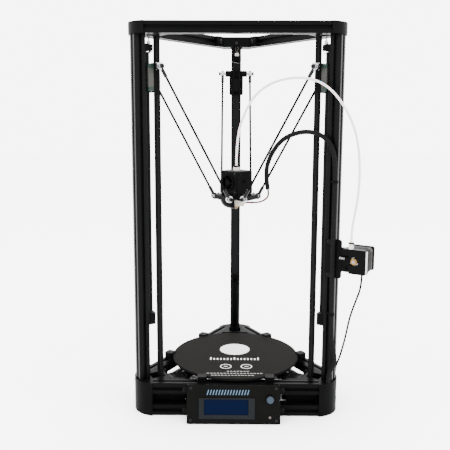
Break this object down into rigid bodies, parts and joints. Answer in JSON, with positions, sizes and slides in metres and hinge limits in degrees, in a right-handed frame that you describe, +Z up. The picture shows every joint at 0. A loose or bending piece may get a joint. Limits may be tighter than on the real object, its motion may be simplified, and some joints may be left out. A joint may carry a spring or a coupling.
{
  "type": "delta 3-d printer",
  "caption": "Tall delta printer: towers with linear rails carry an effector on ball-ended rods above a round heated bed; display in front, extruder on the side.",
  "frame": {"origin": "on the ground, in the middle of the column triangle", "axes": "+Z up, -Y towards the front, where the display is, +X to the right seen from the front"},
  "size_m": [0.4233, 0.362, 0.68],
  "materials": {
    "black_plastic": "fine moulded grain, satin",
    "black_anodised": "satin black anodised, drawn along its length",
    "steel": "ground bearing steel",
    "rail_steel": "ground, dark oiled",
    "chrome": "polished",
    "motor": "black end caps, bare laminated stack",
    "belt": "toothed, matt",
    "silver": "turned",
    "bed_metal": "matt black coating",
    "bed_sheet": "fine pebbled grain, printed white marks",
    "bezel": "satin silver grey",
    "screen": "clear dark blue window",
    "knob": "knurled, anodised",
    "board": "solder mask",
    "brass": "turned, hobbed teeth",
    "carbon": "pultruded carbon fibre",
    "tube": "milky translucent",
    "sleeve": "braided sleeve",
    "cable": "smooth jacket",
    "white_plastic": "moulded, slightly glossy",
    "screw": "black oxide"
  },
  "bodies": {
    "frame": {"base_vertices": "black_plastic", "top_vertices": "black_plastic", "columns": "black_anodised", "base_beams": "black_anodised", "top_beams": "black_anodised", "linear_rails": "rail_steel", "rail_stops": "black_plastic", "stepper_motors": "motor", "drive_belts": "belt", "endstop_switches": "black_plastic", "heated_bed": "bed_metal", "build_surface": "bed_sheet", "bed_clips": "black_plastic", "display_housing": "black_plastic", "display_bezel": "bezel", "display_screen": "screen", "circuit_boards": "board", "electronics_tray": "black_anodised", "extruder_bracket": "black_anodised", "extruder_motor": "motor", "extruder_body": "black_anodised", "extruder_fitting": "silver", "bowden_tube": "tube", "wiring_loom": "sleeve", "extruder_cable": "cable", "loom_clips": "black_plastic", "frame_screws": "screw"},
    "effector": {"effector_platform": "black_plastic", "effector_studs": "chrome", "hotend_shroud": "black_plastic", "hotend": "silver", "effector_fitting": "white_plastic", "hotend_wires": "cable"},
    "fan_rotor": {"fan_rotor": "black_plastic"},
    "carriage_rear": {"carriage_block_rear": "steel", "carriage_adapter_rear": "black_plastic"},
    "rod_rear_a": {"arm_rod_rear_a": "carbon"},
    "rod_rear_b": {"arm_rod_rear_b": "carbon"},
    "drive_pulley_rear": {"drive_pulley_rear": "silver"},
    "idler_rear": {"idler_rear": "steel"},
    "endstop_lever_rear": {"endstop_lever_rear": "steel"},
    "carriage_left": {"carriage_block_left": "steel", "carriage_adapter_left": "black_plastic"},
    "rod_left_a": {"arm_rod_left_a": "carbon"},
    "rod_left_b": {"arm_rod_left_b": "carbon"},
    "drive_pulley_left": {"drive_pulley_left": "silver"},
    "idler_left": {"idler_left": "steel"},
    "endstop_lever_left": {"endstop_lever_left": "steel"},
    "carriage_right": {"carriage_block_right": "steel", "carriage_adapter_right": "black_plastic"},
    "rod_right_a": {"arm_rod_right_a": "carbon"},
    "rod_right_b": {"arm_rod_right_b": "carbon"},
    "drive_pulley_right": {"drive_pulley_right": "silver"},
    "idler_right": {"idler_right": "steel"},
    "endstop_lever_right": {"endstop_lever_right": "steel"},
    "extruder_gear": {"extruder_gear": "brass"},
    "extruder_lever": {"extruder_lever": "black_anodised"},
    "encoder_shaft": {"encoder_shaft": "silver"},
    "display_knob": {"display_knob": "knob"},
    "reset_button": {"reset_button": "black_plastic"}
  },
  "joints": [
    {"name": "effector_lift", "type": "slide", "parent": "frame", "child": "effector", "axis": [0, 0, 1], "range_m": [-0.2835, 0.012], "deforming": ["bowden_tube", "wiring_loom"]},
    {"name": "carriage_rear_slide", "type": "slide", "parent": "frame", "child": "carriage_rear", "axis": [0, 0, 1], "range_m": [-0.2845, 0.013]},
    {"name": "rod_rear_a_twist", "type": "hinge", "parent": "carriage_rear", "child": "rod_rear_a", "pos_m": [-0.028, 0.1635, 0.608], "axis": [0, -0.4963, -0.8682], "range_deg": [-8, 8]},
    {"name": "rod_rear_b_twist", "type": "hinge", "parent": "carriage_rear", "child": "rod_rear_b", "pos_m": [0.028, 0.1635, 0.608], "axis": [0, -0.4963, -0.8682], "range_deg": [-8, 8]},
    {"name": "drive_pulley_rear_spin", "type": "hinge", "parent": "frame", "child": "drive_pulley_rear", "pos_m": [0, 0.158, 0.03], "axis": [0, 1, 0], "range_deg": [-2570, 120]},
    {"name": "idler_rear_spin", "type": "hinge", "parent": "frame", "child": "idler_rear", "pos_m": [0, 0.158, 0.668], "axis": [0, 1, 0], "range_deg": [-2570, 120]},
    {"name": "endstop_lever_rear_press", "type": "hinge", "parent": "frame", "child": "endstop_lever_rear", "pos_m": [-0.008, 0.172, 0.6323], "axis": [0, -1, 0], "range_deg": [0, 8], "stiffness_Nm_per_rad": 0.02, "springref_deg": -2.86},
    {"name": "carriage_left_slide", "type": "slide", "parent": "frame", "child": "carriage_left", "axis": [0, 0, 1], "range_m": [-0.2845, 0.013]},
    {"name": "rod_left_a_twist", "type": "hinge", "parent": "carriage_left", "child": "rod_left_a", "pos_m": [-0.12759, -0.106, 0.608], "axis": [0.4298, 0.2481, -0.8682], "range_deg": [-8, 8]},
    {"name": "rod_left_b_twist", "type": "hinge", "parent": "carriage_left", "child": "rod_left_b", "pos_m": [-0.1556, -0.0575, 0.608], "axis": [0.4298, 0.2481, -0.8682], "range_deg": [-8, 8]},
    {"name": "drive_pulley_left_spin", "type": "hinge", "parent": "frame", "child": "drive_pulley_left", "pos_m": [-0.13683, -0.079, 0.03], "axis": [-0.866, -0.5, 0], "range_deg": [-2570, 120]},
    {"name": "idler_left_spin", "type": "hinge", "parent": "frame", "child": "idler_left", "pos_m": [-0.13683, -0.079, 0.668], "axis": [-0.866, -0.5, 0], "range_deg": [-2570, 120]},
    {"name": "endstop_lever_left_press", "type": "hinge", "parent": "frame", "child": "endstop_lever_left", "pos_m": [-0.14496, -0.09293, 0.6323], "axis": [0.866, 0.5, 0], "range_deg": [0, 8], "stiffness_Nm_per_rad": 0.02, "springref_deg": -2.86},
    {"name": "carriage_right_slide", "type": "slide", "parent": "frame", "child": "carriage_right", "axis": [0, 0, 1], "range_m": [-0.2845, 0.013]},
    {"name": "rod_right_a_twist", "type": "hinge", "parent": "carriage_right", "child": "rod_right_a", "pos_m": [0.1556, -0.0575, 0.608], "axis": [-0.4298, 0.2481, -0.8682], "range_deg": [-8, 8]},
    {"name": "rod_right_b_twist", "type": "hinge", "parent": "carriage_right", "child": "rod_right_b", "pos_m": [0.12759, -0.106, 0.608], "axis": [-0.4298, 0.2481, -0.8682], "range_deg": [-8, 8]},
    {"name": "drive_pulley_right_spin", "type": "hinge", "parent": "frame", "child": "drive_pulley_right", "pos_m": [0.13683, -0.079, 0.03], "axis": [0.866, -0.5, 0], "range_deg": [-2570, 120]},
    {"name": "idler_right_spin", "type": "hinge", "parent": "frame", "child": "idler_right", "pos_m": [0.13683, -0.079, 0.668], "axis": [0.866, -0.5, 0], "range_deg": [-2570, 120]},
    {"name": "endstop_lever_right_press", "type": "hinge", "parent": "frame", "child": "endstop_lever_right", "pos_m": [0.15296, -0.07907, 0.6323], "axis": [-0.866, 0.5, 0], "range_deg": [0, 8], "stiffness_Nm_per_rad": 0.02, "springref_deg": -2.86},
    {"name": "fan_spin", "type": "hinge", "parent": "effector", "child": "fan_rotor", "pos_m": [-0.01195, -0.01195, 0.404], "axis": [-0.7071, -0.7071, 0], "continuous": true},
    {"name": "extruder_gear_spin", "type": "hinge", "parent": "frame", "child": "extruder_gear", "pos_m": [0.19998, -0.13162, 0.2845], "axis": [-0.5, -0.866, 0], "continuous": true},
    {"name": "extruder_lever_press", "type": "hinge", "parent": "frame", "child": "extruder_lever", "pos_m": [0.18656, -0.12387, 0.2705], "axis": [-0.5, -0.866, 0], "range_deg": [0, 5], "stiffness_Nm_per_rad": 1.5, "springref_deg": -2.86},
    {"name": "encoder_push", "type": "slide", "parent": "frame", "child": "encoder_shaft", "axis": [0, 0.9613, -0.2756], "range_m": [0, 0.0006], "stiffness_N_per_m": 500, "springref_m": -0.0006},
    {"name": "knob_turn", "type": "hinge", "parent": "encoder_shaft", "child": "display_knob", "pos_m": [0.059, -0.14839, 0.04368], "axis": [0, -0.9613, 0.2756], "continuous": true},
    {"name": "reset_push", "type": "slide", "parent": "frame", "child": "reset_button", "axis": [0, 0.9613, -0.2756], "range_m": [0, 0.0008], "stiffness_N_per_m": 800, "springref_m": -0.0008}
  ],
  "couplings": [
    {"joint": "carriage_rear_slide", "follows": "effector_lift", "ratio": 1},
    {"joint": "drive_pulley_rear_spin", "follows": "effector_lift", "rad_per_m": 156.99},
    {"joint": "idler_rear_spin", "follows": "effector_lift", "rad_per_m": 156.99},
    {"joint": "carriage_left_slide", "follows": "effector_lift", "ratio": 1},
    {"joint": "drive_pulley_left_spin", "follows": "effector_lift", "rad_per_m": 156.99},
    {"joint": "idler_left_spin", "follows": "effector_lift", "rad_per_m": 156.99},
    {"joint": "carriage_right_slide", "follows": "effector_lift", "ratio": 1},
    {"joint": "drive_pulley_right_spin", "follows": "effector_lift", "rad_per_m": 156.99},
    {"joint": "idler_right_spin", "follows": "effector_lift", "rad_per_m": 156.99}
  ]
}
